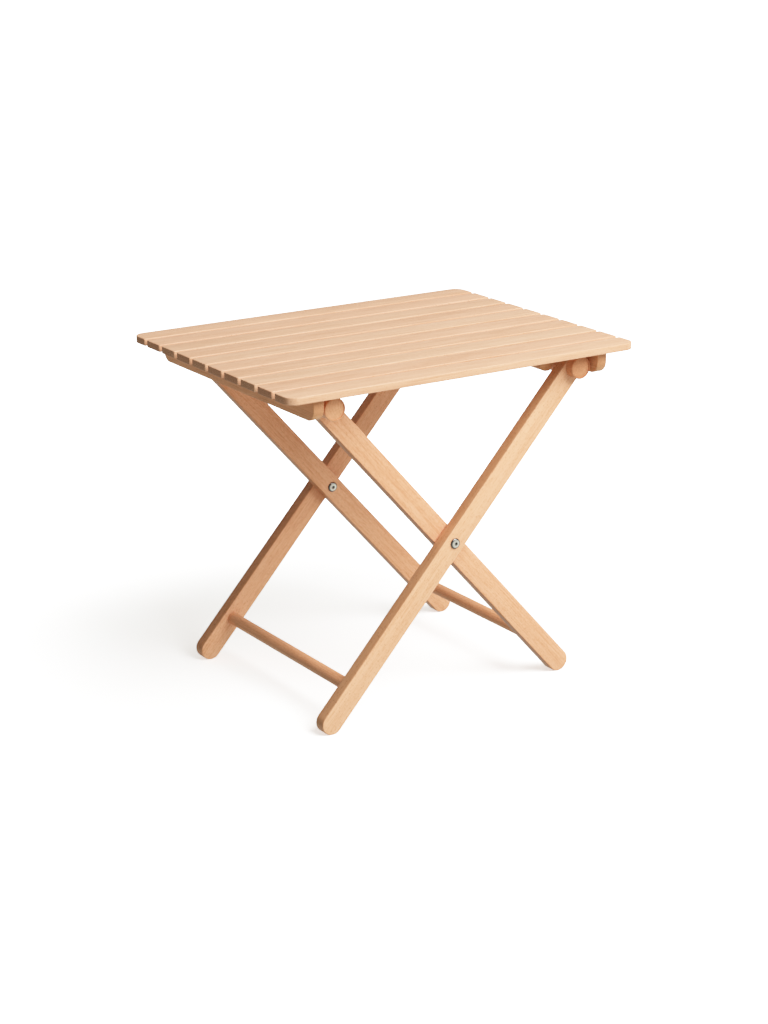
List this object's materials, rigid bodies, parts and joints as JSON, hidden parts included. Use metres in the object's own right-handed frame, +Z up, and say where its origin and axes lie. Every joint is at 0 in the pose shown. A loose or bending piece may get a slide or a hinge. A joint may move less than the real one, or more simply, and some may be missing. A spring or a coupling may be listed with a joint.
{
  "type": "folding side table",
  "caption": "Small beech side table with a slatted top that lifts off a folding X-frame of two leg pairs joined by round rods and rungs.",
  "frame": {"origin": "on the floor, under the centre of the tabletop, with the table standing open", "axes": "+X along the slats, +Y from the front leg pair to the rear one, +Z up"},
  "size_m": [0.6, 0.46, 0.525],
  "materials": {
    "slat_beech": "satin oiled beech, straight grain along the slats",
    "frame_beech": "satin oiled beech with fine flecks, grain along the legs",
    "turned_beech": "satin turned beech, end grain on the faces",
    "nickel": "nickel-plated steel, polished",
    "zinc": "zinc-plated steel",
    "nylon": "natural nylon"
  },
  "bodies": {
    "outer_frame": {"outer_leg_front": "frame_beech", "outer_leg_rear": "frame_beech", "outer_top_rod": "turned_beech", "outer_rung": "turned_beech", "outer_rod_cap_front": "turned_beech", "outer_rod_cap_rear": "turned_beech", "pivot_bolt_front": "nickel", "pivot_bolt_rear": "nickel", "pivot_washer_front": "nylon", "pivot_washer_rear": "nylon"},
    "inner_frame": {"inner_leg_front": "frame_beech", "inner_leg_rear": "frame_beech", "inner_top_rod": "turned_beech", "inner_rung": "turned_beech", "inner_rod_cap_front": "turned_beech", "inner_rod_cap_rear": "turned_beech", "pivot_sleeve_front": "nickel", "pivot_sleeve_rear": "nickel"},
    "tabletop": {"slat_01": "slat_beech", "slat_02": "slat_beech", "slat_03": "slat_beech", "slat_04": "slat_beech", "slat_05": "slat_beech", "slat_06": "slat_beech", "slat_07": "slat_beech", "slat_08": "slat_beech", "slat_09": "slat_beech", "slat_10": "slat_beech", "batten_left": "slat_beech", "batten_right": "slat_beech", "saddle_left_front": "slat_beech", "saddle_left_rear": "slat_beech", "saddle_right_front": "slat_beech", "saddle_right_rear": "slat_beech", "slat_screw_left_01": "zinc", "slat_screw_left_02": "zinc", "slat_screw_left_03": "zinc", "slat_screw_left_04": "zinc", "slat_screw_left_05": "zinc", "slat_screw_left_06": "zinc", "slat_screw_left_07": "zinc", "slat_screw_left_08": "zinc", "slat_screw_left_09": "zinc", "slat_screw_left_10": "zinc", "slat_screw_right_01": "zinc", "slat_screw_right_02": "zinc", "slat_screw_right_03": "zinc", "slat_screw_right_04": "zinc", "slat_screw_right_05": "zinc", "slat_screw_right_06": "zinc", "slat_screw_right_07": "zinc", "slat_screw_right_08": "zinc", "slat_screw_right_09": "zinc", "slat_screw_right_10": "zinc", "saddle_screw_left_front": "zinc", "saddle_screw_left_rear": "zinc", "saddle_screw_right_front": "zinc", "saddle_screw_right_rear": "zinc"}
  },
  "joints": [
    {"name": "leg_fold", "type": "hinge", "parent": "outer_frame", "child": "inner_frame", "pos_m": [0.0023, 0, 0.25369], "axis": [0, 1, 0], "range_deg": [0, 77.5]},
    {"name": "top_lift", "type": "slide", "parent": "outer_frame", "child": "tabletop", "axis": [0.5, 0, 0.866], "range_m": [0, 0.466]}
  ],
  "couplings": [
    {"joint": "top_lift", "follows": "leg_fold", "m_per_rad": 0.3438}
  ]
}
